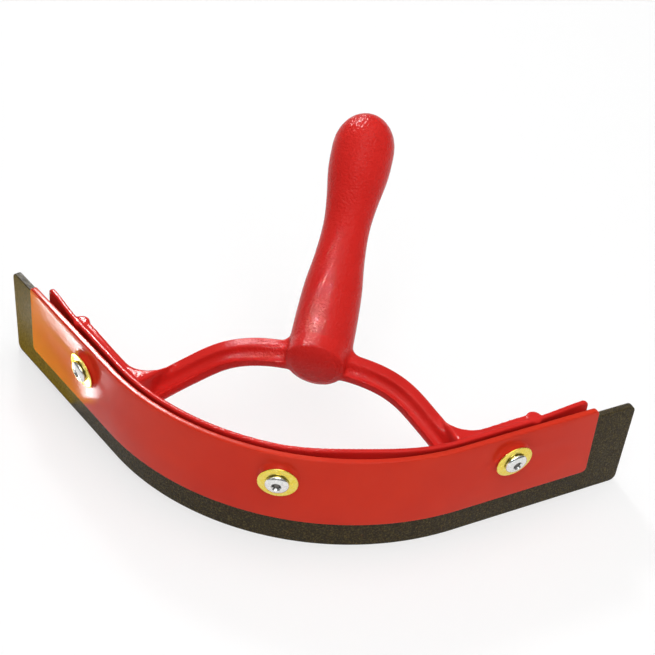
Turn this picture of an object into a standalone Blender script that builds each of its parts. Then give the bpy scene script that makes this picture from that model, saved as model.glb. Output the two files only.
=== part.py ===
"""Sweat scraper. A moulded frame carries a grip and a bowed plate, and a clamp
strip with three blind rivets holds a rubber blade on the front of the plate."""

import math

import bmesh
import bpy
from mathutils import Matrix, Vector
from mathutils.geometry import interpolate_bezier

# Bow of the head, measured along the front face of the clamp strip
BOW_RADIUS = 0.1162
BOW_HALF_ANGLE = math.radians(39.5)
BOW_STEPS = 32

# Fits
SEAT_GAP = 0.0003           # between faces that press together
RIVET_CLEARANCE = 0.0003    # round a shank in its hole

# Back plate of the frame
PLATE_HEIGHT = 0.034
PLATE_THICKNESS = 0.0022
PLATE_HALF_LENGTH = 0.140
PLATE_CORNER = 0.002
PLATE_EDGE = 0.0005

# Clamp strip
STRIP_HEIGHT = PLATE_HEIGHT
STRIP_THICKNESS = 0.0027
STRIP_OVERHANG = 0.003      # beyond each end of the plate
STRIP_HALF_LENGTH = PLATE_HALF_LENGTH + STRIP_OVERHANG
STRIP_CORNER = 0.0022
STRIP_EDGE = 0.0006
BLADE_SHIFT = -0.0018       # strip and blade sit this far along from the plate's middle

# Rubber blade
BLADE_THICKNESS = 0.003
BLADE_LIP = 0.0142          # below the strip's lower edge
BLADE_DROP = 0.0066         # top edge below the strip's top edge
BLADE_TOP_OVERHANG = 0.0213  # beyond each end of the strip
BLADE_LIP_OVERHANG = 0.0198
BLADE_CORNER = 0.003
BLADE_EDGE = 0.0004

# Foot ribs along the back of the plate
FOOT_DROP = 0.0006          # below the plate's top edge
FOOT_TOP = PLATE_HEIGHT - FOOT_DROP
FOOT_HEIGHT = 0.0038
FOOT_DEPTH = 0.0027         # behind the plate
FOOT_ROOT = 0.073           # from the yoke's middle to where the rib leaves the arm
FOOT_FILLET = 0.014
FOOT_FILLET_STEPS = 7
FOOT_INSET = 0.0235         # rib's end in from the plate's end
FOOT_END = PLATE_HALF_LENGTH - FOOT_INSET
BUMP_INSET = 0.0023         # end bump in from the rib's end
BUMP_RADIUS = 0.0034
BUMP_DEPTH = 0.0004         # centre of the end bump behind the plate
BUMP_PROUD = 0.0003         # above and below the rib
GUSSET_START = 0.0004       # out from the rib's root
GUSSET_RUN = 0.007          # out along the rib
GUSSET_INSET = 0.0003       # behind the rib's curved side
GUSSET_DROP = 0.0034        # below the rib's top
GUSSET_HEIGHT = 0.009

# Yoke and grip lie in one tilted plane through this point
ARM_OFFSET = 0.005          # arms to the side of the plate's middle
GRIP_OFFSET = 0.0061        # grip to the side of the plate's middle
YOKE_BACK = 0.0562
YOKE_RISE = 0.0115          # above the plate's top edge
YOKE_HEIGHT = PLATE_HEIGHT + YOKE_RISE
YOKE_TILT = math.radians(47.8)

# Middle line of the arms in the tilted plane, out from the grip and up along it
ARM_PATH = ((0.0, -0.0068), (0.020, -0.0076), (0.036, -0.0122), (0.0508, -0.0225), (0.064, -0.0335))
ARM_PATH_STEPS = 6
ARM_WIDTH = 0.0114
ARM_DEPTH = 0.0094
ARM_FACET = 0.0035          # width of the outer sloping band
ARM_LOWER_BAND = 0.0023
ARM_GROOVE_DEPTH = 0.0019
ARM_GROOVE_SLOPE = 0.0022   # width of the groove's outer side
ARM_GROOVE_SIDE = 0.0008    # width of the groove's inner side
ARM_EDGE_DEPTH = 0.0026     # of the narrow outer and inner edges

# Webs that fill the corners between grip and arms
WEB_REACH = 0.0225          # out from the grip's axis
WEB_INNER = 0.0112
WEB_RISE = 0.0042           # up the grip from the yoke point
WEB_DEPTH = 0.0052
WEB_SINK = 0.0012           # into the arms
WEB_STEPS = 4

# Grip, with stations by share of its length up from the yoke point and radius there
GRIP_LENGTH = 0.0963
GRIP_STATIONS = ((0.841, 0.0128), (0.737, 0.0125), (0.613, 0.0106), (0.504, 0.0096), (0.374, 0.0103),
                 (0.249, 0.0119), (0.135, 0.0126), (0.0, 0.013))
GRIP_STATION_STEPS = 3
GRIP_TIP_STEPS = 6
GRIP_SIDES = 40
GRIP_END_STEPS = 6
GRIP_END_DEPTH = 0.0105     # of the rounded lower end below the yoke point

# Hub, a short round knob with a flat end that faces forward and a little down
HUB_RADIUS = 0.0124
HUB_LENGTH = 0.0126         # from the yoke point to the flat end
HUB_EDGE = 0.0040           # width of the sloping ring round the flat end
HUB_EDGE_DEPTH = 0.0016
HUB_DROP = math.radians(12.0)

# Rivets, washers and bosses
RIVET_SPACING = 0.0998      # from the middle of the row to an outer rivet
RIVET_SHIFT = 0.0014        # middle of the row to the side of the plate's middle
CENTRE_RIVET_OFFSET = 0.0046
RIVET_DROP = 0.0124         # below the strip's top edge
RIVET_HEIGHT = STRIP_HEIGHT - RIVET_DROP
SHANK_RADIUS = 0.0024
BORE_RADIUS = 0.00145
HEAD_RADIUS = 0.00475
HEAD_HEIGHT = 0.0023
HEAD_RIM = 0.0004
HEAD_STEPS = 5
TAIL_RADIUS = 0.0036
TAIL_LENGTH = 0.0034
TAIL_SHOULDER = 0.0010
MANDREL_RADIUS = 0.00115
MANDREL_RECESS = 0.0009     # broken stem below the top of the head
MANDREL_HEAD_RADIUS = 0.0019
MANDREL_HEAD_LENGTH = 0.0012
WASHER_RADIUS = 0.008
WASHER_THICKNESS = 0.001
WASHER_CHAMFER = 0.0003
REAR_WASHER_RADIUS = 0.005
BOSS_RADIUS = 0.0076
BOSS_TOP_RADIUS = 0.0065
BOSS_HEIGHT = 0.0014
ROUND_SIDES = 28

# Stack of layers behind the strip's front face
BLADE_FRONT = STRIP_THICKNESS + SEAT_GAP
PLATE_FRONT = BLADE_FRONT + BLADE_THICKNESS + SEAT_GAP
PLATE_MIDDLE = PLATE_FRONT + PLATE_THICKNESS / 2
PLATE_BACK = PLATE_FRONT + PLATE_THICKNESS

# Places of the rivets along the bow
RIVETS = {"left": RIVET_SHIFT - RIVET_SPACING,
          "centre": CENTRE_RIVET_OFFSET,
          "right": RIVET_SHIFT + RIVET_SPACING}


def clear_scene():
    """Empties the file and makes the two collections."""
    for item in list(bpy.data.objects):
        bpy.data.objects.remove(item, do_unlink=True)
    for name in ("sweat_scraper", "cutters"):
        bpy.context.scene.collection.children.link(bpy.data.collections.new(name))


def make_material(name, colour, roughness, metallic):
    """One finish."""
    material = bpy.data.materials.new(name)
    material.use_nodes = True
    shader = material.node_tree.nodes["Principled BSDF"]
    shader.inputs["Base Color"].default_value = (*colour, 1.0)
    shader.inputs["Roughness"].default_value = roughness
    shader.inputs["Metallic"].default_value = metallic
    return material


def add_object(name, mesh, material=None):
    """Links a mesh as a part when it has a material, and as a guide when it has none."""
    item = bpy.data.objects.new(name, mesh)
    bpy.data.collections["sweat_scraper" if material else "cutters"].objects.link(item)
    if material:
        mesh.materials.append(material)
    else:
        item.hide_render = True
        item.display_type = "WIRE"
    return item


def mesh_from(name, build):
    """Turns a bmesh into a mesh with outward faces, smooth up to its sharp corners."""
    bmesh.ops.recalc_face_normals(build, faces=build.faces[:])
    mesh = bpy.data.meshes.new(name)
    build.to_mesh(mesh)
    build.free()
    mesh.shade_smooth()
    mesh.set_sharp_from_angle(angle=math.radians(35))
    return mesh


def bow_turn(along):
    """Angle of the bow at a distance along it."""
    return max(-BOW_HALF_ANGLE, min(BOW_HALF_ANGLE, along / BOW_RADIUS))


def bow_point(along, behind, height):
    """Point a distance along the bow and behind the strip's front face."""
    turn = bow_turn(along)
    straight = along - turn * BOW_RADIUS
    across = BOW_RADIUS - behind
    return Vector((across * math.sin(turn) + straight * math.cos(turn),
                   BOW_RADIUS - across * math.cos(turn) + straight * math.sin(turn),
                   height))


def rivet_frame(along):
    """Axes of a rivet, with Z out of the front and zero on the strip's front face."""
    place = Matrix.Translation(bow_point(along, 0.0, RIVET_HEIGHT))
    return place @ Matrix.Rotation(bow_turn(along), 4, "Z") @ Matrix.Rotation(math.radians(90), 4, "X")


def smooth_line(points, steps):
    """Even curve through a few points."""
    ends = [Vector(point) for point in points]
    slopes = [(ends[min(i + 1, len(ends) - 1)] - ends[max(i - 1, 0)]) / 6 for i in range(len(ends))]
    line = [ends[0]]
    for i in range(len(ends) - 1):
        start, end = ends[i], ends[i + 1]
        piece = interpolate_bezier(start, start + slopes[i], end - slopes[i + 1], end, steps + 1)
        line.extend(piece[1:])
    return line


def turned(name, profile, sides, material=None, closed=False):
    """Solid of revolution about Z from a profile that runs from top to bottom."""
    mesh = bpy.data.meshes.new(name)
    count = len(profile)
    edges = [(i, (i + 1) % count) for i in range(count if closed else count - 1)]
    mesh.from_pydata([(radius, 0.0, height) for radius, height in profile], edges, [])
    item = add_object(name, mesh, material)
    screw = item.modifiers.new("turn", "SCREW")
    screw.steps = sides
    screw.render_steps = sides
    screw.use_smooth_shade = True
    screw.use_merge_vertices = True
    screw.merge_threshold = 0.000001
    return item


def solid_copy(item):
    """Replaces an object with a plain mesh of the shape it shows."""
    bpy.context.view_layer.update()
    shown = item.evaluated_get(bpy.context.evaluated_depsgraph_get())
    build = bmesh.new()
    build.from_mesh(bpy.data.meshes.new_from_object(shown))
    bmesh.ops.remove_doubles(build, verts=build.verts[:], dist=0.000001)
    name = item.name
    place = item.matrix_world.copy()
    bpy.data.objects.remove(item, do_unlink=True)
    copy = add_object(name, mesh_from(name, build))
    copy.matrix_world = place
    return copy


def combine(item, other, operation):
    """Joins or cuts one object with another."""
    step = item.modifiers.new(other.name, "BOOLEAN")
    step.object = other
    step.operation = operation
    step.solver = "EXACT"


def bow_sheet(name, halves, heights, depths, corner, edge, shift=0.0, material=None):
    """Sheet with rounded corners and rims, wrapped onto the bow.

    halves are the half lengths at the top and bottom edges, heights are the
    bottom and top edges, and depths are the front and back faces.
    """
    front, back = depths
    sheet = bmesh.new()
    bmesh.ops.create_cube(sheet, size=1.0)
    for vert in sheet.verts:
        half = halves[0] if vert.co.y > 0 else halves[1]
        height = heights[1] if vert.co.y > 0 else heights[0]
        depth = front if vert.co.z > 0 else back
        vert.co = (math.copysign(half, vert.co.x), height, -depth)
    thin = [e for e in sheet.edges if abs(e.verts[0].co.z - e.verts[1].co.z) > (back - front) / 2]
    bmesh.ops.bevel(sheet, geom=thin, offset=corner, segments=3, profile=0.5, affect="EDGES")
    rims = [e for e in sheet.edges if abs(e.verts[0].co.z - e.verts[1].co.z) < (back - front) / 2]
    bmesh.ops.bevel(sheet, geom=rims, offset=edge, segments=2, profile=0.5, affect="EDGES")
    bmesh.ops.translate(sheet, verts=sheet.verts[:], vec=(shift, 0.0, 0.0))
    wrap_on_bow(sheet)
    return add_object(name, mesh_from(name, sheet), material)


def wrap_on_bow(sheet):
    """Slices a flat sheet at even steps and lays it round the bow."""
    reach = BOW_RADIUS * BOW_HALF_ANGLE
    for step in range(BOW_STEPS + 1):
        along = reach * (2 * step / BOW_STEPS - 1)
        bmesh.ops.bisect_plane(sheet, geom=sheet.verts[:] + sheet.edges[:] + sheet.faces[:],
                               plane_co=(along, 0.0, 0.0), plane_no=(1.0, 0.0, 0.0))
    for vert in sheet.verts:
        vert.co = bow_point(vert.co.x, -vert.co.z, vert.co.y)


def cylinder(name, radius, low, high, sides, edge=0.0):
    """Upright round bar between two heights, with an optional rounded top."""
    bar = bmesh.new()
    middle = (high + low) / 2
    bmesh.ops.create_cone(bar, cap_ends=True, segments=sides, radius1=radius, radius2=radius,
                          depth=high - low, matrix=Matrix.Translation((0.0, 0.0, middle)))
    if edge > 0:
        rim = [e for e in bar.edges if min(v.co.z for v in e.verts) > middle]
        bmesh.ops.bevel(bar, geom=rim, offset=edge, segments=2, profile=0.5, affect="EDGES")
    return add_object(name, mesh_from(name, bar))


def outline_curve(name, points):
    """Closed flat outline as a curve."""
    curve = bpy.data.curves.new(name, "CURVE")
    curve.dimensions = "2D"
    spline = curve.splines.new("POLY")
    spline.points.add(len(points) - 1)
    for spot, point in zip(spline.points, points):
        spot.co = (point[0], point[1], 0.0, 1.0)
    spline.use_cyclic_u = True
    return add_object(name, curve)


def slab(name, points, thickness, place):
    """Solid slab with a flat outline, centred on its plane."""
    item = outline_curve(name, points)
    item.data.fill_mode = "BOTH"
    item.data.extrude = thickness / 2
    item.matrix_world = place
    return solid_copy(item)


def yoke_frame(offset):
    """Axes of the tilted plane, with X to the side, Y up the grip and Z out of the front."""
    return Matrix.Translation((offset, YOKE_BACK, YOKE_HEIGHT)) @ Matrix.Rotation(YOKE_TILT, 4, "X")


def arm_section():
    """Section of an arm, grooved front and back, from the outer edge to the inner."""
    half = ARM_WIDTH / 2
    ridge = ARM_DEPTH / 2
    groove = ridge - ARM_GROOVE_DEPTH
    front = [(-half, ARM_EDGE_DEPTH / 2),
             (ARM_FACET - half, ridge),
             (ARM_FACET + ARM_GROOVE_SLOPE - half, groove),
             (half - ARM_LOWER_BAND - ARM_GROOVE_SIDE, groove),
             (half - ARM_LOWER_BAND, ridge),
             (half, ARM_EDGE_DEPTH / 2)]
    return front + [(across, -deep) for across, deep in reversed(front)]


def build_arms():
    """Both arms as one grooved bar, cut off at the middle of the plate."""
    section = outline_curve("arm_section", arm_section())
    mirrored = [(-out, up) for out, up in reversed(ARM_PATH[1:])]
    arms = outline_curve("arms", smooth_line(mirrored + list(ARM_PATH), ARM_PATH_STEPS))
    arms.data.splines[0].use_cyclic_u = False
    arms.data.fill_mode = "NONE"
    arms.data.bevel_mode = "OBJECT"
    arms.data.bevel_object = section
    arms.data.use_fill_caps = True
    arms.matrix_world = yoke_frame(ARM_OFFSET)
    arms = solid_copy(arms)
    reach = BOW_RADIUS * BOW_HALF_ANGLE + FOOT_FILLET
    space = bow_sheet("front_space", (reach, reach), (-PLATE_HEIGHT, 2 * PLATE_HEIGHT),
                      (-2 * ARM_WIDTH, PLATE_MIDDLE), STRIP_CORNER, STRIP_EDGE)
    combine(arms, space, "DIFFERENCE")
    return arms


def build_webs():
    """Web behind the grip with a hollow round in each corner."""
    low = ARM_PATH[1][1] + ARM_WIDTH / 2 - WEB_SINK
    corner = []
    for step in range(WEB_STEPS + 1):
        turn = math.radians(90) * step / WEB_STEPS
        corner.append((WEB_REACH - (WEB_REACH - WEB_INNER) * math.sin(turn),
                       low + (WEB_RISE - low) * (1 - math.cos(turn))))
    right = [(WEB_REACH, ARM_PATH[0][1])] + corner
    left = [(-out, up) for out, up in reversed(right)]
    return slab("webs", right + left, WEB_DEPTH, yoke_frame(GRIP_OFFSET))


def build_grip():
    """Turned grip with a rounded tip and a rounded lower end."""
    stations = [(share * GRIP_LENGTH, radius) for share, radius in GRIP_STATIONS]
    tip_start, tip_radius = stations[0]
    profile = []
    for step in range(GRIP_TIP_STEPS):
        turn = math.radians(90) * step / GRIP_TIP_STEPS
        profile.append((tip_radius * math.sin(turn), tip_start + (GRIP_LENGTH - tip_start) * math.cos(turn)))
    profile += [(radius, along) for along, radius in smooth_line(stations, GRIP_STATION_STEPS)]
    end, end_radius = stations[-1]
    for step in range(1, GRIP_END_STEPS + 1):
        turn = math.radians(90) * step / GRIP_END_STEPS
        profile.append((end_radius * math.cos(turn), end - GRIP_END_DEPTH * math.sin(turn)))
    grip = turned("grip", profile, GRIP_SIDES)
    grip.matrix_world = yoke_frame(GRIP_OFFSET) @ Matrix.Rotation(math.radians(-90), 4, "X")
    return grip


def build_hub():
    """Knob that closes the lower end of the grip in front of the arms."""
    profile = [(0.0, HUB_LENGTH), (HUB_RADIUS - HUB_EDGE, HUB_LENGTH),
               (HUB_RADIUS, HUB_LENGTH - HUB_EDGE_DEPTH), (HUB_RADIUS, 0.0), (0.0, 0.0)]
    hub = turned("hub", profile, GRIP_SIDES)
    place = Matrix.Translation((GRIP_OFFSET, YOKE_BACK, YOKE_HEIGHT))
    hub.matrix_world = place @ Matrix.Rotation(math.radians(90) + HUB_DROP, 4, "X")
    return hub


def foot_depth(along, root):
    """Depth of a foot rib behind the plate, with the hollow round next to the arm."""
    run = max(0.0, 1.0 - (along - root) / FOOT_FILLET)
    return FOOT_DEPTH + FOOT_FILLET * (1.0 - math.sqrt(max(0.0, 1.0 - run * run)))


def foot_slab(name, side, stations, inset, top, height):
    """Slab behind the plate whose far side follows the foot's depth."""
    root = FOOT_ROOT + side * ARM_OFFSET
    near = PLATE_BACK - inset
    outer = [bow_point(side * along, near + foot_depth(along, root), 0.0) for along in stations]
    inner = [bow_point(side * along, PLATE_MIDDLE, 0.0) for along in reversed(stations)]
    return slab(name, outer + inner, height, Matrix.Translation((0.0, 0.0, top - height / 2)))


def build_foot(name, side):
    """Rib along the back of the plate from an arm to a round end bump, on a gusset by the arm."""
    root = FOOT_ROOT + side * ARM_OFFSET
    stations = [root + FOOT_FILLET * step / FOOT_FILLET_STEPS for step in range(FOOT_FILLET_STEPS + 1)]
    rib = foot_slab("rib_" + name, side, stations + [FOOT_END], 0.0, FOOT_TOP, FOOT_HEIGHT)
    stations = [root + GUSSET_START, root + GUSSET_RUN / 3, root + 2 * GUSSET_RUN / 3, root + GUSSET_RUN]
    gusset = foot_slab("gusset_" + name, side, stations, GUSSET_INSET, FOOT_TOP - GUSSET_DROP, GUSSET_HEIGHT)
    low = FOOT_TOP - FOOT_HEIGHT - BUMP_PROUD
    bump = cylinder("bump_" + name, BUMP_RADIUS, low, FOOT_TOP + BUMP_PROUD, ROUND_SIDES, STRIP_EDGE)
    bump.location = bow_point(side * (FOOT_END - BUMP_INSET), PLATE_BACK + BUMP_DEPTH, 0.0)
    return [rib, bump, gusset]


def build_frame(drills):
    """Grip, arms, feet and plate as one moulding."""
    material = make_material("red_plastic", (0.58, 0.027, 0.022), 0.35, 0.0)
    frame = bow_sheet("frame", (PLATE_HALF_LENGTH, PLATE_HALF_LENGTH), (0.0, PLATE_HEIGHT),
                      (PLATE_FRONT, PLATE_BACK), PLATE_CORNER, PLATE_EDGE, material=material)
    upper = [build_arms(), build_webs(), build_grip(), build_hub()]
    for piece in build_foot("left", -1) + build_foot("right", 1) + upper:
        combine(frame, piece, "UNION")
    for drill in drills:
        combine(frame, drill, "DIFFERENCE")


def build_strip(drills):
    """Clamp strip with a raised boss under each front washer."""
    material = make_material("red_strip_plastic", (0.55, 0.025, 0.02), 0.3, 0.0)
    strip = bow_sheet("clamp_strip", (STRIP_HALF_LENGTH, STRIP_HALF_LENGTH), (0.0, STRIP_HEIGHT),
                      (0.0, STRIP_THICKNESS), STRIP_CORNER, STRIP_EDGE, BLADE_SHIFT, material)
    root = -STRIP_THICKNESS / 2
    root_radius = BOSS_RADIUS - root * (BOSS_RADIUS - BOSS_TOP_RADIUS) / BOSS_HEIGHT
    for name, along in RIVETS.items():
        profile = [(0.0, BOSS_HEIGHT), (BOSS_TOP_RADIUS, BOSS_HEIGHT), (root_radius, root), (0.0, root)]
        boss = turned("boss_" + name, profile, ROUND_SIDES)
        boss.matrix_world = rivet_frame(along)
        combine(strip, boss, "UNION")
    for drill in drills:
        combine(strip, drill, "DIFFERENCE")


def build_blade(drills):
    """Rubber blade between strip and plate, longer and lower than both."""
    material = make_material("black_rubber", (0.02, 0.02, 0.018), 0.8, 0.0)
    halves = (STRIP_HALF_LENGTH + BLADE_TOP_OVERHANG, STRIP_HALF_LENGTH + BLADE_LIP_OVERHANG)
    blade = bow_sheet("rubber_blade", halves, (-BLADE_LIP, STRIP_HEIGHT - BLADE_DROP),
                      (BLADE_FRONT, BLADE_FRONT + BLADE_THICKNESS),
                      BLADE_CORNER, BLADE_EDGE, BLADE_SHIFT, material)
    for drill in drills:
        combine(blade, drill, "DIFFERENCE")


def washer(name, radius, low, along, material):
    """Flat washer with chamfered rims."""
    bore = SHANK_RADIUS + RIVET_CLEARANCE
    high = low + WASHER_THICKNESS
    profile = [(bore, high), (radius - WASHER_CHAMFER, high), (radius, high - WASHER_CHAMFER),
               (radius, low + WASHER_CHAMFER), (radius - WASHER_CHAMFER, low), (bore, low)]
    item = turned(name, profile, ROUND_SIDES, material, closed=True)
    item.matrix_world = rivet_frame(along)


def build_fastening(name, along):
    """Blind rivet with its broken mandrel and its two washers."""
    brass = make_material("brass_washer_" + name, (0.8, 0.55, 0.2), 0.3, 1.0)
    zinc = make_material("zinc_washer_" + name, (0.6, 0.6, 0.6), 0.35, 1.0)
    alloy = make_material("alloy_rivet_" + name, (0.75, 0.75, 0.75), 0.3, 1.0)
    steel = make_material("steel_mandrel_" + name, (0.25, 0.25, 0.25), 0.4, 1.0)
    front_seat = BOSS_HEIGHT + SEAT_GAP
    hollow = REAR_WASHER_RADIUS ** 2 / (2 * (BOW_RADIUS - PLATE_BACK))
    rear_seat = -PLATE_BACK - SEAT_GAP - hollow - WASHER_THICKNESS
    washer("front_washer_" + name, WASHER_RADIUS, front_seat, along, brass)
    washer("rear_washer_" + name, REAR_WASHER_RADIUS, rear_seat, along, zinc)

    head = front_seat + WASHER_THICKNESS + SEAT_GAP
    tail = rear_seat - SEAT_GAP
    dome = []
    for step in range(HEAD_STEPS + 1):
        radius = BORE_RADIUS + (HEAD_RADIUS - BORE_RADIUS) * step / HEAD_STEPS
        rise = math.sqrt(1 - (radius / HEAD_RADIUS) ** 2)
        dome.append((radius, head + HEAD_RIM + (HEAD_HEIGHT - HEAD_RIM) * rise))
    shank = [(HEAD_RADIUS, head), (SHANK_RADIUS, head), (SHANK_RADIUS, tail)]
    bulb = [(TAIL_RADIUS - TAIL_SHOULDER / 2, tail), (TAIL_RADIUS, tail - TAIL_SHOULDER),
            (TAIL_RADIUS, tail - TAIL_LENGTH + TAIL_SHOULDER), (SHANK_RADIUS, tail - TAIL_LENGTH),
            (BORE_RADIUS, tail - TAIL_LENGTH)]
    rivet = turned("rivet_" + name, dome + shank + bulb, ROUND_SIDES, alloy, closed=True)
    rivet.matrix_world = rivet_frame(along)

    top = dome[0][1] - MANDREL_RECESS
    neck = tail - TAIL_LENGTH - SEAT_GAP
    stem = [(0.0, top), (MANDREL_RADIUS, top), (MANDREL_RADIUS, neck), (MANDREL_HEAD_RADIUS, neck),
            (MANDREL_HEAD_RADIUS, neck - MANDREL_HEAD_LENGTH / 2), (0.0, neck - MANDREL_HEAD_LENGTH)]
    mandrel = turned("mandrel_" + name, stem, ROUND_SIDES, steel)
    mandrel.matrix_world = rivet_frame(along)


def stand_on_floor():
    """Puts the middle of the whole box's underside at the origin."""
    bpy.context.view_layer.update()
    graph = bpy.context.evaluated_depsgraph_get()
    points = []
    for item in bpy.data.collections["sweat_scraper"].objects:
        shown = item.evaluated_get(graph)
        points += [shown.matrix_world @ vert.co for vert in shown.data.vertices]
    low = Vector([min(point[axis] for point in points) for axis in range(3)])
    high = Vector([max(point[axis] for point in points) for axis in range(3)])
    root = bpy.data.objects.new("root", None)
    bpy.data.collections["sweat_scraper"].objects.link(root)
    for item in bpy.data.objects:
        if item is not root:
            item.parent = root
    root.location = (-(low.x + high.x) / 2, -(low.y + high.y) / 2, -low.z)


def main():
    """Builds every piece and stands the scraper on the floor."""
    clear_scene()
    drills = []
    for name, along in RIVETS.items():
        drill = cylinder("drill_" + name, SHANK_RADIUS + RIVET_CLEARANCE, -2 * PLATE_BACK, 2 * BOSS_HEIGHT,
                         ROUND_SIDES)
        drill.matrix_world = rivet_frame(along) @ Matrix.Rotation(math.pi / ROUND_SIDES, 4, "Z")
        drills.append(drill)
    build_frame(drills)
    build_strip(drills)
    build_blade(drills)
    for name, along in RIVETS.items():
        build_fastening(name, along)
    stand_on_floor()


main()
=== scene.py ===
"""Looks of a horse sweat scraper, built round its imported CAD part.

The moulded frame is smoothed from the CAD solid. Strip, blade, washers and
rivets are modelled again with the rounds and marks that the CAD leaves out.
Lengths are in metres unless a name ends in _mm, and angles are in radians.
"""

import logging
import math
from dataclasses import dataclass
from enum import Enum
from functools import cached_property

import bmesh
import bpy
from mathutils import Matrix, Vector


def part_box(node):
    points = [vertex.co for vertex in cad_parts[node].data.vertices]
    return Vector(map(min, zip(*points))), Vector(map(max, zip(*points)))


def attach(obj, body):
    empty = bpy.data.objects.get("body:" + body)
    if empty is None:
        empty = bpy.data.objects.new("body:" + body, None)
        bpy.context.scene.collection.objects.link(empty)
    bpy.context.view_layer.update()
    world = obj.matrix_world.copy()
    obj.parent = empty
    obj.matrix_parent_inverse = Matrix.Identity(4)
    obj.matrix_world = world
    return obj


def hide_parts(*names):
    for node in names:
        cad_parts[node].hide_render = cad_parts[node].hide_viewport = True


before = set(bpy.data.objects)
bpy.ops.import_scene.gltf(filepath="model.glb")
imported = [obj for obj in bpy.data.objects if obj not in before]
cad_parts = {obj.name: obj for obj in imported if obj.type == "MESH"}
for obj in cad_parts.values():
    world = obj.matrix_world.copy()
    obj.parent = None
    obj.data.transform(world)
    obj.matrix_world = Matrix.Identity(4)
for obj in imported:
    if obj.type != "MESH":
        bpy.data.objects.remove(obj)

log = logging.getLogger("sweat_scraper")

Place = tuple[float, float, float]
Range = tuple[float, float]
Points = tuple[tuple[float, float], ...]

BODY = "root"
SHADER = "Principled BSDF"
WHITE = "#FFFFFF"
BLACK = "#000000"
MM_PER_METRE = 1000.0
MERGE_DISTANCE = 1e-6

# Middle of the part, which the lamps aim at.
MIDDLE = (0.0, 0.0, 0.067)

# Directions on a flat sheet, before it is laid round the bow.
SHEET_ALONG = Vector((1.0, 0.0, 0.0))
SHEET_UP = Vector((0.0, 1.0, 0.0))


class Slot(Enum):
    """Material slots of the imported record."""

    FRAME = "red_plastic"
    STRIP = "red_strip_plastic"
    BLADE = "black_rubber"
    FRONT_WASHER = "brass_washer"
    REAR_WASHER = "zinc_washer"
    RIVET = "rivet_alloy"
    MANDREL = "mandrel_steel"


class Spot(Enum):
    """Rivets by their place in the row, as seen from the front."""

    LEFT = "left"
    CENTRE = "centre"
    RIGHT = "right"


def linear(colour: str) -> tuple[float, float, float, float]:
    """Turns an sRGB hex colour to linear light.

    Args:
        colour: Six hex digits after a hash.

    Returns:
        Red, green, blue and an alpha of one.
    """
    shares = [int(colour[start : start + 2], 16) / 255 for start in (1, 3, 5)]
    red, green, blue = (
        share / 12.92 if share <= 0.04045 else ((share + 0.055) / 1.055) ** 2.4 for share in shares
    )
    return red, green, blue, 1.0


def per_metre(size_mm: float) -> float:
    """Pattern scale that repeats about once in this many millimetres."""
    return MM_PER_METRE / size_mm


def stretch(source: Range, target: Range) -> dict[str, float]:
    """Settings that map values from one range to another."""
    return {"From Min": source[0], "From Max": source[1], "To Min": target[0], "To Max": target[1]}


def ease(share: float) -> float:
    """Soft step from 0 to 1."""
    share = max(0.0, min(1.0, share))
    return share * share * (3 - 2 * share)


def add_node(
    tree: bpy.types.NodeTree,
    kind: str,
    settings: dict[str | int, object] | None = None,
    links: dict[str | int, bpy.types.NodeSocket] | None = None,
) -> bpy.types.Node:
    """Adds a node to a tree with its settings and links.

    Args:
        tree: Node tree of a material or the world.
        kind: Blender's name of the node type.
        settings: Values by property name, or by input name or number.
        links: Sockets to join, by input name or number.

    Returns:
        The new node.
    """
    made = tree.nodes.new(kind)
    for name, value in (settings or {}).items():
        if isinstance(name, str) and hasattr(made, name):
            setattr(made, name, value)
        else:
            made.inputs[name].default_value = value
    for name, socket in (links or {}).items():
        tree.links.new(socket, made.inputs[name])
    return made


def start_material(name: str, values: dict[str, object]) -> bpy.types.Material:
    """Starts a material with constant values on its shader.

    Args:
        name: The real material and how its surface was made.
        values: Values by the shader's input names.

    Returns:
        The new material.
    """
    material = bpy.data.materials.new(name)
    material.use_nodes = True
    for key, value in values.items():
        material.node_tree.nodes[SHADER].inputs[key].default_value = value
    return material


@dataclass(frozen=True)
class Grain:
    """Cloudy pattern with patches of a real size."""

    size_mm: float
    detail: float = 2.0
    rough: float = 0.5

    @property
    def settings(self) -> dict[str, float]:
        """Values of the noise that draws the pattern."""
        return {"Scale": per_metre(self.size_mm), "Detail": self.detail, "Roughness": self.rough}


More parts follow.
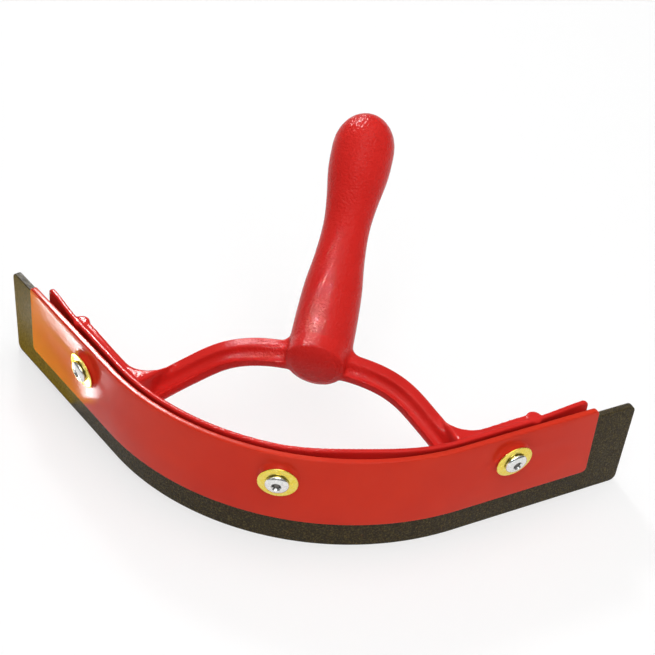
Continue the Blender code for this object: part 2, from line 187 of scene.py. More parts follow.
@dataclass(frozen=True)
class Finish:
    """Surface of one real material, drawn by a procedural material.

    The grain sets the gloss and the relief. The mottle mixes the two colours,
    or the grain does where there is no mottle. The ripple is a coarser relief
    below the grain. A metal keeps the shader's own IOR.
    """

    name: str
    dark: str
    light: str
    grain: Grain
    roughness: Range
    relief_mm: float
    mottle: Grain | None = None
    ripple: Grain | None = None
    ripple_mm: float = 0.0
    mottle_range: Range = (0.3, 0.7)
    grain_range: Range = (0.3, 0.7)
    ior: float = 1.5
    metallic: float = 0.0

    @cached_property
    def material(self) -> bpy.types.Material:
        """Builds the material when it is first asked for.

        Returns:
            The material with its colour, gloss and relief.
        """
        made = start_material(self.name, {"IOR": self.ior, "Metallic": self.metallic})
        tree = made.node_tree
        place = add_node(tree, "ShaderNodeTexCoord").outputs["Object"]
        grain = add_node(tree, "ShaderNodeTexNoise", self.grain.settings, {"Vector": place}).outputs[0]
        mottle = grain
        if self.mottle is not None:
            mottle = add_node(tree, "ShaderNodeTexNoise", self.mottle.settings, {"Vector": place}).outputs[0]
        mixing = stretch(self.mottle_range, (0.0, 1.0))
        share = add_node(tree, "ShaderNodeMapRange", mixing, {"Value": mottle})
        colours = {"data_type": "RGBA", 6: linear(self.dark), 7: linear(self.light)}
        colour = add_node(tree, "ShaderNodeMix", colours, {0: share.outputs[0]})
        shine = stretch(self.grain_range, self.roughness)
        gloss = add_node(tree, "ShaderNodeMapRange", shine, {"Value": grain})
        inputs = tree.nodes[SHADER].inputs
        tree.links.new(colour.outputs[2], inputs["Base Color"])
        tree.links.new(gloss.outputs[0], inputs["Roughness"])
        tree.links.new(self.relief(tree, place, grain), inputs["Normal"])
        return made

    def relief(
        self, tree: bpy.types.NodeTree, place: bpy.types.NodeSocket, grain: bpy.types.NodeSocket
    ) -> bpy.types.NodeSocket:
        """Bends the normal by the grain, over the ripple if there is one.

        Args:
            tree: Node tree of the material.
            place: Object coordinates.
            grain: Pattern of the grain.

        Returns:
            The bent normal.
        """
        links = {"Height": self.height(tree, place, grain)}
        if self.ripple is not None:
            wave = add_node(tree, "ShaderNodeTexNoise", self.ripple.settings, {"Vector": place})
            depth = {"Distance": self.ripple_mm / MM_PER_METRE}
            under = add_node(tree, "ShaderNodeBump", depth, {"Height": wave.outputs[0]})
            links["Normal"] = under.outputs[0]
        return add_node(tree, "ShaderNodeBump", {"Distance": self.relief_mm / MM_PER_METRE}, links).outputs[0]

    def height(
        self, tree: bpy.types.NodeTree, place: bpy.types.NodeSocket, grain: bpy.types.NodeSocket
    ) -> bpy.types.NodeSocket:
        """Height of the relief, which is the grain unless a finish changes it."""
        return grain


@dataclass(frozen=True)
class MouldedRed(Finish):
    """Red polypropylene from a spark-eroded mould.

    The eye sees a deep warm red with a fine pebbled skin, which breaks each
    highlight into speckles on the grip and fades along the arms.
    """

    name: str = "red_polypropylene_moulded"
    dark: str = "#CE2520"
    light: str = "#D62C27"
    grain: Grain = Grain(1.0, detail=1.0)
    roughness: Range = (0.12, 0.26)
    relief_mm: float = 0.42
    mottle: Grain | None = Grain(28.0, detail=3.0)
    ripple: Grain | None = Grain(6.0)
    ripple_mm: float = 0.10
    ior: float = 1.16

    # Distances from the part's middle between which the pebbles fade, and what is left of them.
    fade_range: Range = (0.018, 0.032)
    fade_share: float = 0.25

    def height(
        self, tree: bpy.types.NodeTree, place: bpy.types.NodeSocket, grain: bpy.types.NodeSocket
    ) -> bpy.types.NodeSocket:
        """Fades the pebbles along the arms.

        Args:
            tree: Node tree of the material.
            place: Object coordinates.
            grain: Pattern of the pebbles.

        Returns:
            The faded pattern.
        """
        across = add_node(tree, "ShaderNodeSeparateXYZ", None, {0: place}).outputs["X"]
        aside = add_node(tree, "ShaderNodeMath", {"operation": "ABSOLUTE"}, {0: across}).outputs[0]
        fade = stretch(self.fade_range, (1.0, self.fade_share))
        share = add_node(tree, "ShaderNodeMapRange", fade, {"Value": aside}).outputs[0]
        return add_node(tree, "ShaderNodeMath", {"operation": "MULTIPLY"}, {0: grain, 1: share}).outputs[0]


@dataclass(frozen=True)
class StripRed(Finish):
    """Red PVC strip, extruded and polished by handling.

    The eye sees a smoother, glossier red than the frame with a slight ripple.
    """

    name: str = "red_pvc_extruded"
    dark: str = "#CB2E1C"
    light: str = "#D3351F"

    # The real skin is finer, and it is drawn this coarse so that it shows.
    grain: Grain = Grain(0.45, detail=1.0)
    roughness: Range = (0.16, 0.20)
    relief_mm: float = 0.004
    mottle: Grain | None = Grain(35.0, detail=3.0)
    ripple: Grain | None = Grain(9.0)
    ripple_mm: float = 0.10
    ior: float = 1.19


@dataclass(frozen=True)
class SheetRubber(Finish):
    """Black natural rubber, calendered as a sheet and cut.

    The eye sees a dull black in a rough skin. Its olive cast is painted warm light bounced up from the
    ground. Its pale flecks are partly the rubber's own grain and partly painted glints.
    """

    name: str = "black_rubber_calendered"
    # Olive colours with painted warm bounce light in them. The pale flecks are partly painted glints.
    dark: str = "#2C2310"
    light: str = "#5C4E26"
    grain: Grain = Grain(0.9, detail=3.0, rough=0.7)
    roughness: Range = (0.35, 0.70)
    relief_mm: float = 0.20
    mottle: Grain | None = Grain(0.7)
    mottle_range: Range = (0.45, 0.75)
    ior: float = 1.26


@dataclass(frozen=True)
class StampedBrass(Finish):
    """Brass washer, stamped and tumbled.

    The eye sees a bright yellow metal with faint scuffs.
    """

    name: str = "brass_stamped"
    dark: str = "#E2C840"
    light: str = "#F0DF78"
    grain: Grain = Grain(1.6, detail=4.0, rough=0.6)
    roughness: Range = (0.20, 0.36)
    relief_mm: float = 0.02
    metallic: float = 1.0


@dataclass(frozen=True)
class SetAluminium(Finish):
    """Aluminium rivet, cold headed and set with a nosepiece.

    The eye sees a bright silver dome with small tool marks.
    """

    name: str = "aluminium_cold_headed"
    dark: str = "#D2D2D0"
    light: str = "#EFEFEC"
    grain: Grain = Grain(0.8, detail=4.0, rough=0.6)
    roughness: Range = (0.14, 0.28)
    relief_mm: float = 0.03
    metallic: float = 1.0


@dataclass(frozen=True)
class ZincSteel(Finish):
    """Steel washer with bright zinc plating.

    The eye sees a cool grey metal with a soft crystal mottle.
    """

    name: str = "steel_zinc_plated"
    dark: str = "#A7A9AB"
    light: str = "#C6C8CA"
    grain: Grain = Grain(1.1, detail=3.0)
    roughness: Range = (0.28, 0.42)
    relief_mm: float = 0.02
    metallic: float = 1.0


@dataclass(frozen=True)
class BrokenSteel(Finish):
    """Steel stem, drawn and snapped off.

    The eye sees a dark grainy break.
    """

    name: str = "steel_snapped"
    dark: str = "#5E5B57"
    light: str = "#8A8782"

    # The real break is finer, and it is drawn this coarse so that it shows.
    grain: Grain = Grain(0.35, detail=3.0, rough=0.7)
    roughness: Range = (0.40, 0.62)
    relief_mm: float = 0.10
    metallic: float = 1.0


def show(name: str, mesh: bpy.types.Mesh, finish: Finish, nodes: list[str]) -> None:
    """Links a finished piece that stands for CAD nodes.

    Args:
        name: Name of the piece.
        mesh: Its mesh, in the part's frame.
        finish: Its surface.
        nodes: CAD nodes that it replaces.
    """
    piece = bpy.data.objects.new(name, mesh)
    bpy.context.scene.collection.objects.link(piece)
    mesh.materials.clear()
    mesh.materials.append(finish.material)
    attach(piece, BODY)
    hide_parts(*nodes)
    log.info("%s: %d faces", name, len(mesh.polygons))


def to_mesh(name: str, build: bmesh.types.BMesh, crease: float = math.radians(40.0)) -> bpy.types.Mesh:
    """Turns a bmesh into a mesh that shades smooth up to a crease angle.

    Args:
        name: Name of the mesh.
        build: The bmesh, which is freed.
        crease: Angle above which an edge stays sharp.

    Returns:
        The mesh, with outward faces.
    """
    bmesh.ops.remove_doubles(build, verts=build.verts[:], dist=MERGE_DISTANCE)
    bmesh.ops.recalc_face_normals(build, faces=build.faces[:])
    mesh = bpy.data.meshes.new(name)
    build.to_mesh(mesh)
    build.free()
    mesh.shade_smooth()
    mesh.set_sharp_from_angle(angle=crease)
    return mesh


def with_modifier(mesh: bpy.types.Mesh, kind: str, **settings: object) -> bpy.types.Mesh:
    """Applies one modifier to a mesh.

    Args:
        mesh: Mesh to change, left as it is.
        kind: Blender's name of the modifier type.
        settings: Values of the modifier by property name.

    Returns:
        A new mesh with the modifier applied.
    """
    carrier = bpy.data.objects.new("carrier", mesh)
    bpy.context.scene.collection.objects.link(carrier)
    modifier = carrier.modifiers.new(kind.lower(), kind)
    for name, value in settings.items():
        setattr(modifier, name, value)
    shown = carrier.evaluated_get(bpy.context.evaluated_depsgraph_get())
    made = bpy.data.meshes.new_from_object(shown)
    bpy.data.objects.remove(carrier)
    return made


@dataclass(frozen=True)
class Layers:
    """Depths of the clamped layers behind the strip's front face.

    The height is that of strip and plate, which share their lower edge.
    """

    strip_back: float = 0.0027
    blade_front: float = 0.003
    blade_back: float = 0.006
    plate_back: float = 0.0085
    height: float = 0.034


LAYERS = Layers()


@dataclass(frozen=True)
class Bow:
    """Curve that strip, blade and plate follow, seen from above.

    Its zero is the foremost point of the strip's front face, at the level of
    the strip's lower edge.
    """

    zero: Vector
    radius: float = 0.1162
    half_angle: float = math.radians(39.5)

    @classmethod
    def from_boxes(cls) -> "Bow":
        """Finds the bow's zero from the CAD boxes.

        Returns:
            The bow in the part's frame.
        """
        low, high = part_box("frame")
        blade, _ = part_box("rubber_blade")
        return cls(Vector(((low.x + high.x) / 2, blade.y - LAYERS.blade_front, low.z)))

    @property
    def reach(self) -> float:
        """Length of the curved part on each side."""
        return self.radius * self.half_angle

    def limit(self, angle: float) -> float:
        """Keeps an angle within the curved part."""
        return max(-self.half_angle, min(self.half_angle, angle))

    def turn(self, along: float) -> float:
        """Angle of the bow at a distance along it."""
        return self.limit(along / self.radius)

    def point(self, along: float, behind: float, height: float) -> Vector:
        """Finds a point on or near the bow.

        Args:
            along: Distance along the front face from the middle.
            behind: Distance behind the front face.
            height: Distance above the strip's lower edge.

        Returns:
            The point in the part's frame.
        """
        turn = self.turn(along)
        straight = along - turn * self.radius
        across = self.radius - behind
        side = across * math.sin(turn) + straight * math.cos(turn)
        depth = self.radius - across * math.cos(turn) + straight * math.sin(turn)
        return self.zero + Vector((side, depth, height))

    def outward(self, along: float) -> Vector:
        """Direction out of the front face at a distance along the bow."""
        turn = self.turn(along)
        return Vector((math.sin(turn), -math.cos(turn), 0.0))

    def locate(self, point: Vector) -> tuple[float, float]:
        """Finds where a point lies by the bow.

        Args:
            point: Place in the part's frame.

        Returns:
            The distance along the bow and the distance behind its front face.
        """
        flat = point - self.zero
        spoke = Vector((flat.x, flat.y - self.radius))
        turn = self.limit(math.atan2(spoke.x, -spoke.y))
        across = spoke.dot(Vector((math.sin(turn), -math.cos(turn))))
        straight = spoke.dot(Vector((math.cos(turn), math.sin(turn))))
        return turn * self.radius + straight, self.radius - across

    def rivet_axes(self, along: float, height: float) -> Matrix:
        """Axes of a rivet, with Z out of the front and zero on the front face."""
        turned = Matrix.Rotation(self.turn(along), 4, "Z") @ Matrix.Rotation(math.radians(90), 4, "X")
        return Matrix.Translation(self.point(along, 0.0, height)) @ turned


@dataclass(frozen=True)
class RivetRow:
    """Places of the rivets along the bow, and how far each stands out of square."""

    spacing: float = 0.0998
    shift: float = 0.0014
    centre: float = 0.0046
    height: float = 0.0216
    nod: float = math.radians(7.0)
    swing: float = math.radians(6.0)
    mound_height: float = 0.0014
    shank_radius: float = 0.0024
    clearance: float = 0.0003

    @property
    def hole_radius(self) -> float:
        """Radius of the holes that the shanks pass through."""
        return self.shank_radius + self.clearance

    @property
    def places(self) -> dict[Spot, float]:
        """Distance of each rivet along the bow."""
        return {
            Spot.LEFT: self.shift - self.spacing,
            Spot.CENTRE: self.centre,
            Spot.RIGHT: self.shift + self.spacing,
        }

    def slopes(self, spot: Spot) -> tuple[float, float]:
        """Slopes of a rivet's seat along the bow and up it."""
        across = -math.tan(self.swing) if spot is Spot.CENTRE else 0.0
        return across, math.tan(self.nod)


@dataclass(frozen=True)
class Ball:
    """Round zone in which the moulding's corners are softened."""

    centre: Vector
    radius: float


@dataclass
class MouldedFrame:
    """Grip, hub, arms, feet and plate, one moulding with soft inner corners."""

    bow: Bow
    voxel: float = 0.0005
    thinning: float = 0.48
    crease: float = math.radians(60.0)

    # Rounds of smoothing, and the zones that get them.
    soften_share: float = 0.5
    plate_margin: float = 0.0006
    plate_rounds: int = 1
    arm_rounds: int = 2
    grip_rounds: int = 12
    corner_rounds: int = 5
    yoke: Place = (0.0061, 0.0562, 0.0455)
    grip_tilt: float = math.radians(47.8)
    grip_start: float = 0.012
    grip_reach: float = 0.016
    crotch: float = 0.0155
    crotch_height: float = -0.004
    crotch_radii: tuple[float, ...] = (0.010, 0.0085, 0.007)
    landing: float = 0.080
    landing_depth: float = 0.006
    landing_height: float = 0.0315
    landing_radii: tuple[float, ...] = (0.024, 0.020, 0.016, 0.012)

    # Flat end of the hub.
    hub_length: float = 0.0123
    hub_drop: float = math.radians(12.0)
    hub_reach: float = 0.0135

    # Where the plate's top starts to lean, and its lean at distances along the bow.
    lean_low: float = 0.026
    lean_depth: float = 0.014
    lean_spots: Points = (
        (-0.140, 0.0),
        (-0.115, 0.0016),
        (-0.070, 0.0020),
        (0.000, 0.0018),
        (0.036, 0.0),
        (0.074, 0.0020),
        (0.112, 0.0018),
        (0.140, 0.0),
    )

    @property
    def yoke_point(self) -> Vector:
        """Point where grip, hub and arms meet."""
        return self.bow.zero + Vector(self.yoke)

    @property
    def grip_axis(self) -> Vector:
        """Direction up the grip."""
        return Vector((0.0, math.cos(self.grip_tilt), math.sin(self.grip_tilt)))

    def build(self) -> bpy.types.Mesh:
        """Smooths a copy of the CAD solid.

        Returns:
            The mesh of the moulding.
        """
        solid = bmesh.new()
        solid.from_mesh(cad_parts["frame"].data)
        skin = with_modifier(to_mesh("frame_solid", solid), "REMESH", mode="VOXEL", voxel_size=self.voxel)
        moulding = bmesh.new()
        moulding.from_mesh(skin)
        self.soften_all(moulding)
        self.flatten_hub(moulding)
        self.lean(moulding)
        fine = to_mesh("frame_fine", moulding, self.crease)
        return with_modifier(fine, "DECIMATE", ratio=self.thinning)

    def soften_all(self, moulding: bmesh.types.BMesh) -> None:
        """Rounds the plate a little, the arms more and the inner corners most.

        Args:
            moulding: The remeshed solid.
        """
        edge = LAYERS.plate_back + self.plate_margin
        upper = [vert for vert in moulding.verts if self.bow.locate(vert.co)[1] > edge]
        self.soften(moulding, moulding.verts[:], self.plate_rounds)
        self.soften(moulding, upper, self.arm_rounds)
        self.soften(moulding, [vert for vert in upper if self.on_grip(vert.co)], self.grip_rounds)
        for ball in self.balls():
            near = [vert for vert in upper if (vert.co - ball.centre).length < ball.radius]
            self.soften(moulding, near, self.corner_rounds)

    def on_grip(self, point: Vector) -> bool:
        """Tells whether a point lies on the grip.

        Args:
            point: Place in the part's frame.

        Returns:
            True within the grip's reach of its axis, above the hub.
        """
        axis = self.grip_axis
        offset = point - self.yoke_point
        up = offset.dot(axis)
        return up > self.grip_start and (offset - axis * up).length < self.grip_reach

    def balls(self) -> list[Ball]:
        """Places the zones by the hub's two corners and the two landings.

        Returns:
            The zones of one side and then the other, each from large to small.
        """
        zones = []
        base = self.yoke_point + self.grip_axis * self.crotch_height
        depth = LAYERS.plate_back + self.landing_depth
        for side in (-1, 1):
            corner = base + Vector((side * self.crotch, 0.0, 0.0))
            zones += [Ball(corner, radius) for radius in self.crotch_radii]
            centre = self.bow.point(side * self.landing, depth, self.landing_height)
            zones += [Ball(centre, radius) for radius in self.landing_radii]
        return zones

    def soften(self, mesh: bmesh.types.BMesh, verts: list[bmesh.types.BMVert], rounds: int) -> None:
        """Rounds edges and inner corners a little each time.

        Args:
            mesh: The moulding.
            verts: What to smooth.
            rounds: How often.
        """
        axes = {"use_axis_" + axis: True for axis in "xyz"}
        for _ in range(rounds):
            bmesh.ops.smooth_vert(mesh, verts=verts, factor=self.soften_share, **axes)

    def flatten_hub(self, moulding: bmesh.types.BMesh) -> None:
        """Cuts the hub's end to a flat disc with a clear rim.

        Args:
            moulding: The softened moulding.
        """
        normal = Vector((0.0, -math.cos(self.hub_drop), -math.sin(self.hub_drop)))
        spot = self.yoke_point + normal * self.hub_length
        near = [face for face in moulding.faces if (face.calc_center_median() - spot).length < self.hub_reach]
        verts = list(dict.fromkeys(vert for face in near for vert in face.verts))
        edges = list(dict.fromkeys(edge for face in near for edge in face.edges))
        bmesh.ops.bisect_plane(moulding, geom=verts + edges + near, plane_co=spot, plane_no=normal)
        for vert in moulding.verts:
            proud = (vert.co - spot).dot(normal)
            if proud > 0 and (vert.co - spot).length < self.hub_reach:
                vert.co -= normal * proud

    def lean(self, moulding: bmesh.types.BMesh) -> None:
        """Leans the plate's top to the strip, as the rivets draw it in.

        Args:
            moulding: The softened moulding.
        """
        for vert in moulding.verts:
            along, behind = self.bow.locate(vert.co)
            height = vert.co.z - self.bow.zero.z
            rise = ease((height - self.lean_low) / (LAYERS.height - self.lean_low))
            fade = ease(1 - (behind - LAYERS.plate_back) / self.lean_depth)
            if rise * fade > 0:
                vert.co += self.bow.outward(along) * (self.lean_at(along) * rise * fade)

    def lean_at(self, along: float) -> float:
        """Finds the lean of the plate's top edge.

        Args:
            along: Distance along the bow.

        Returns:
            The lean, eased from one spot to the next, and none past the ends.
        """
        for (start, first), (end, second) in zip(self.lean_spots, self.lean_spots[1:]):
            if start <= along <= end:
                return first + (second - first) * ease((along - start) / (end - start))
        return 0.0

    def dress(self, finish: Finish) -> None:
        """Builds the moulding and shows it in its finish."""
        show("frame_moulding", self.build(), finish, ["frame"])


@dataclass
class BowedSheet:
    """Sheet with rounded corners and rims, laid round the bow."""

    bow: Bow
    top_half: float
    lower_half: float
    bottom: float
    top: float
    front: float
    back: float
    corner: float
    rim: float
    shift: float = -0.0018
    pitch: float = 0.0016
    corner_steps: int = 6
    rim_steps: int = 4

    def flat(self) -> bmesh.types.BMesh:
        """Makes the sheet flat, with X along it, Y up and Z out of its front.

        Returns:
            The sheet with its corners and rims rounded.
        """
        sheet = bmesh.new()
        bmesh.ops.create_cube(sheet, size=1.0)
        for vert in sheet.verts:
            upper = vert.co.y > 0
            half = self.top_half if upper else self.lower_half
            depth = self.front if vert.co.z > 0 else self.back
            vert.co = (math.copysign(half, vert.co.x), self.top if upper else self.bottom, -depth)
        corners = [edge for edge in sheet.edges if self.crosses(edge)]
        self.round_off(sheet, corners, self.corner, self.corner_steps)
        rims = [edge for edge in sheet.edges if not self.crosses(edge)]
        self.round_off(sheet, rims, self.rim, self.rim_steps)
        bmesh.ops.translate(sheet, verts=sheet.verts[:], vec=SHEET_ALONG * self.shift)
        return sheet

    def crosses(self, edge: bmesh.types.BMEdge) -> bool:
        """Tells whether an edge of the flat sheet runs from its front to its back."""
        first, second = (vert.co.z > -(self.front + self.back) / 2 for vert in edge.verts)
        return first != second

    def round_off(
        self, sheet: bmesh.types.BMesh, edges: list[bmesh.types.BMEdge], offset: float, steps: int
    ) -> None:
        """Rounds edges of the flat sheet.

        Args:
            sheet: Flat sheet.
            edges: Edges to round.
            offset: Width that the rounding takes on each side.
            steps: Number of facets.
        """
        bmesh.ops.bevel(
            sheet, geom=edges, offset=offset, segments=steps, profile=0.5, affect="EDGES", material=-1
        )

    def cross_cut(self, sheet: bmesh.types.BMesh, spots: list[float], normal: Vector) -> None:
        """Cuts a flat sheet into narrow bands that can bend.

        Args:
            sheet: Flat sheet.
            spots: Places of the cuts along the normal.
            normal: Direction across the cuts.
        """
        for spot in spots:
            everything = sheet.verts[:] + sheet.edges[:] + sheet.faces[:]
            bmesh.ops.bisect_plane(sheet, geom=everything, plane_co=normal * spot, plane_no=normal)

    def even(self, low: float, high: float, step: float) -> list[float]:
        """Even spots between two limits."""
        count = max(1, round((high - low) / step))
        return [low + (high - low) * number / count for number in range(count + 1)]

    def wrap(self, sheet: bmesh.types.BMesh) -> None:
        """Lays the flat sheet round the bow."""
        for vert in sheet.verts:
            vert.co = self.bow.point(vert.co.x, -vert.co.z, vert.co.y)


@dataclass
class ClampStrip(BowedSheet):
    """Strip on the front, drawn up into a mound under each washer."""

    top_half: float = 0.143
    lower_half: float = 0.143
    bottom: float = 0.0
    top: float = LAYERS.height
    front: float = 0.0
    back: float = LAYERS.strip_back
    corner: float = 0.0022
    rim: float = 0.0006
    row: RivetRow = RivetRow()
    mound_foot: float = 0.0088
    mound_top: float = 0.0058
    mound_pitch: float = 0.0006

    # What lies no deeper than this below the front face rises with a mound.
    mound_skin: float = 0.00015
    drill_length: float = 0.0162
    drill_sides: int = 48

    def build(self) -> bpy.types.Mesh:
        """Makes the strip with its mounds and holes.

        Returns:
            The mesh of the strip.
        """
        sheet = self.flat()
        alongs = self.even(-self.bow.reach, self.bow.reach, self.pitch)
        for place in self.row.places.values():
            alongs += self.even(place - self.mound_foot, place + self.mound_foot, self.mound_pitch)
        self.cross_cut(sheet, sorted(alongs), SHEET_ALONG)
        low = self.row.height - self.mound_foot
        high = self.row.height + self.mound_foot
        self.cross_cut(sheet, self.even(low, high, self.mound_pitch), SHEET_UP)
        for vert in sheet.verts:
            if vert.co.z > -self.mound_skin:
                vert.co.z += self.mound(vert.co)
        self.wrap(sheet)
        return self.drilled(to_mesh("clamp_strip_bowed", sheet))

    def mound(self, flat: Vector) -> float:
        """Finds the height of the nearest mound.

        Args:
            flat: Point of the flat front.

        Returns:
            The height, which slopes with the rivet's seat and ends at the foot.
        """
        spot, place = min(self.row.places.items(), key=lambda rivet: abs(flat.x - rivet[1]))
        across = flat.x - place
        up = flat.y - self.row.height
        slope_across, slope_up = self.row.slopes(spot)
        top = max(0.0, self.row.mound_height + slope_across * across + slope_up * up)
        return top * ease((self.mound_foot - math.hypot(across, up)) / (self.mound_foot - self.mound_top))

    def drilled(self, mesh: bpy.types.Mesh) -> bpy.types.Mesh:
        """Cuts a round hole through each mound.

        Args:
            mesh: The bowed strip.

        Returns:
            A new mesh with the holes.
        """
        drills = bmesh.new()
        for place in self.row.places.values():
            bmesh.ops.create_cone(
                drills,
                cap_ends=True,
                segments=self.drill_sides,
                radius1=self.row.hole_radius,
                radius2=self.row.hole_radius,
                depth=self.drill_length,
                matrix=self.bow.rivet_axes(place, self.row.height),
            )
        cutter = bpy.data.objects.new("drills", to_mesh("drills", drills))
        bpy.context.scene.collection.objects.link(cutter)
        cut = with_modifier(mesh, "BOOLEAN", operation="DIFFERENCE", solver="EXACT", object=cutter)
        bpy.data.objects.remove(cutter)
        return cut

    def dress(self, finish: Finish) -> None:
        """Builds the strip and shows it in its finish."""
        show("clamp_strip_bowed", self.build(), finish, ["clamp_strip"])


@dataclass
class RubberBlade(BowedSheet):
    """Rubber sheet between strip and plate."""

    top_half: float = 0.16428
    lower_half: float = 0.16278
    bottom: float = -0.0142
    top: float = 0.0274
    front: float = LAYERS.blade_front
    back: float = LAYERS.blade_back
    corner: float = 0.003
    rim: float = 0.0004

    def build(self) -> bpy.types.Mesh:
        """Makes the bowed blade.

        Returns:
            The mesh of the blade.
        """
        sheet = self.flat()
        self.cross_cut(sheet, self.even(-self.bow.reach, self.bow.reach, self.pitch), SHEET_ALONG)
        self.wrap(sheet)
        return to_mesh("rubber_blade_bowed", sheet)

    def dress(self, finish: Finish) -> None:
        """Builds the blade and shows it in its finish."""
        show("rubber_blade_bowed", self.build(), finish, ["rubber_blade"])


@dataclass
class Fastening:
    """Washers, rivet and broken stem at one place of the row.

    Heights are measured out of the strip's front face.
    """

    bow: Bow
    row: RivetRow
    spot: Spot
    seat_gap: float = 0.0003
    washer_radius: float = 0.008
    rear_washer_radius: float = 0.005
    washer_thickness: float = 0.001
    washer_round: float = 0.0003
    washer_sag: float = 0.0004
    bore_radius: float = 0.0015
    mouth_radius: float = 0.0021
    mouth_depth: float = 0.0007
    head_radius: float = 0.00475
    head_height: float = 0.0020
    head_rim: float = 0.0004
    tail_radius: float = 0.0036
    tail_length: float = 0.0034
    stem_radius: float = 0.00115
    stem_recess: float = 0.0005
    stem_head_radius: float = 0.0019
    stem_head_length: float = 0.0012

    # Share of the stem's radius, and fall below its top, at the break.
    stem_break: Points = ((0.0, 0.0), (0.7, 0.0001), (1.0, 0.0003))

    # Shares of the stem head's radius and length.
    stem_head: Points = ((1.0, 0.0), (1.0, 0.5), (0.6, 0.85), (0.0, 1.0))

    # Facets of each round.
    sides: int = 72
    sag_steps: int = 8
    round_steps: int = 4
    dome_steps: int = 10
    tail_steps: int = 8

    @property
    def front_seat(self) -> float:
        """Height of the front washer's underside."""
        return self.row.mound_height + self.seat_gap

    @property
    def head_seat(self) -> float:
        """Height of the rivet head's underside."""
        return self.front_seat + self.washer_thickness + self.seat_gap

    @property
    def rear_seat(self) -> float:
        """Height of the rear washer's far side, which lies in the plate's hollow."""
        hollow = self.rear_washer_radius**2 / (2 * (self.bow.radius - LAYERS.plate_back))
        return -LAYERS.plate_back - self.seat_gap - hollow - self.washer_thickness

    def turned(self, name: str, profile: list[tuple[float, float]], ring: bool) -> bpy.types.Mesh:
        """Turns a profile about the rivet's axis.

        Args:
            name: Name of the mesh.
            profile: Radius and height of each point.
            ring: Whether the last point joins the first.

        Returns:
            The mesh, in the part's frame.
        """
        build = bmesh.new()
        verts = [build.verts.new((radius, 0.0, height)) for radius, height in profile]
        edges = [build.edges.new(pair) for pair in zip(verts, verts[1:])]
        if ring:
            edges.append(build.edges.new((verts[-1], verts[0])))
        bmesh.ops.spin(
            build,
            geom=verts + edges,
            cent=(0.0, 0.0, 0.0),
            axis=(0.0, 0.0, 1.0),
            angle=math.tau,
            steps=self.sides,
            use_merge=True,
        )
        bmesh.ops.remove_doubles(build, verts=build.verts[:], dist=MERGE_DISTANCE)
        self.tip(build)
        axes = self.bow.rivet_axes(self.row.places[self.spot], self.row.height)
        bmesh.ops.transform(build, matrix=axes, verts=build.verts[:])
        return to_mesh(name, build)

    def tip(self, build: bmesh.types.BMesh) -> None:
        """Tips what lies in front of the strip to its sloping seat.

        Args:
            build: A turned piece, still on its own axes.
        """
        slope_across, slope_up = self.row.slopes(self.spot)
        for vert in build.verts:
            if vert.co.z > 0:
                vert.co.z += slope_across * vert.co.x + slope_up * vert.co.y

    def washer(self, name: str, radius: float, low: float, sag: float = 0.0) -> bpy.types.Mesh:
        """Makes a washer with rounded rims.

        Args:
            name: Name of the mesh.
            radius: Outer radius.
            low: Height of its lower face.
            sag: Fall of its top from the bore to the rim.

        Returns:
            The mesh of the washer.
        """
        bore = self.row.hole_radius
        profile = [(bore, low)]
        flat = radius - self.washer_round - bore
        for step in range(self.sag_steps):
            share = step / self.sag_steps
            profile.append((bore + flat * share, low + self.washer_thickness - sag * share**2))
        high = low + self.washer_thickness - sag
        for step in range(self.round_steps + 1):
            turn = math.pi / 2 * step / self.round_steps
            inset = self.washer_round * (1 - math.sin(turn))
            fall = self.washer_round * (1 - math.cos(turn))
            profile.append((radius - inset, high - fall))
        profile += [(radius, low + self.washer_round), (radius - self.washer_round, low)]
        return self.turned(name, profile, ring=True)

    def dome(self, radius: float) -> float:
        """Height of the domed head above its seat at a radius."""
        rise = math.sqrt(max(0.0, 1 - (radius / self.head_radius) ** 2))
        return self.head_rim + (self.head_height - self.head_rim) * rise

    def rivet(self, name: str) -> bpy.types.Mesh:
        """Makes the set rivet with its domed head, shank, tail and bore.

        Args:
            name: Name of the mesh.

        Returns:
            The mesh of the rivet.
        """
        head = self.head_seat
        shank = self.row.shank_radius
        tail = self.rear_seat - self.seat_gap
        end = tail - self.tail_length
        mouth = head + self.dome(self.mouth_radius)
        profile = [(self.bore_radius, end), (self.bore_radius, mouth - self.mouth_depth)]
        for step in range(self.dome_steps + 1):
            share = math.sin(math.pi / 2 * step / self.dome_steps)
            radius = self.mouth_radius + (self.head_radius - self.mouth_radius) * share
            profile.append((radius, head + self.dome(radius)))
        profile += [(self.head_radius, head), (shank, head), (shank, tail)]
        middle = (tail + end) / 2
        for step in range(self.tail_steps + 1):
            turn = math.pi * step / self.tail_steps
            bulge = shank + (self.tail_radius - shank) * math.sqrt(math.sin(turn))
            profile.append((bulge, middle + self.tail_length / 2 * math.cos(turn)))
        return self.turned(name, profile, ring=True)

    def stem(self, name: str) -> bpy.types.Mesh:
        """Makes the broken stem with its head behind the tail.

        Args:
            name: Name of the mesh.

        Returns:
            The mesh of the stem.
        """
        top = self.head_seat + self.dome(self.mouth_radius) - self.stem_recess
        neck = self.rear_seat - self.tail_length - 2 * self.seat_gap
        profile = [(self.stem_radius * share, top - fall) for share, fall in self.stem_break]
        profile.append((self.stem_radius, neck))
        for share, fall in self.stem_head:
            profile.append((self.stem_head_radius * share, neck - self.stem_head_length * fall))
        return self.turned(name, profile, ring=False)

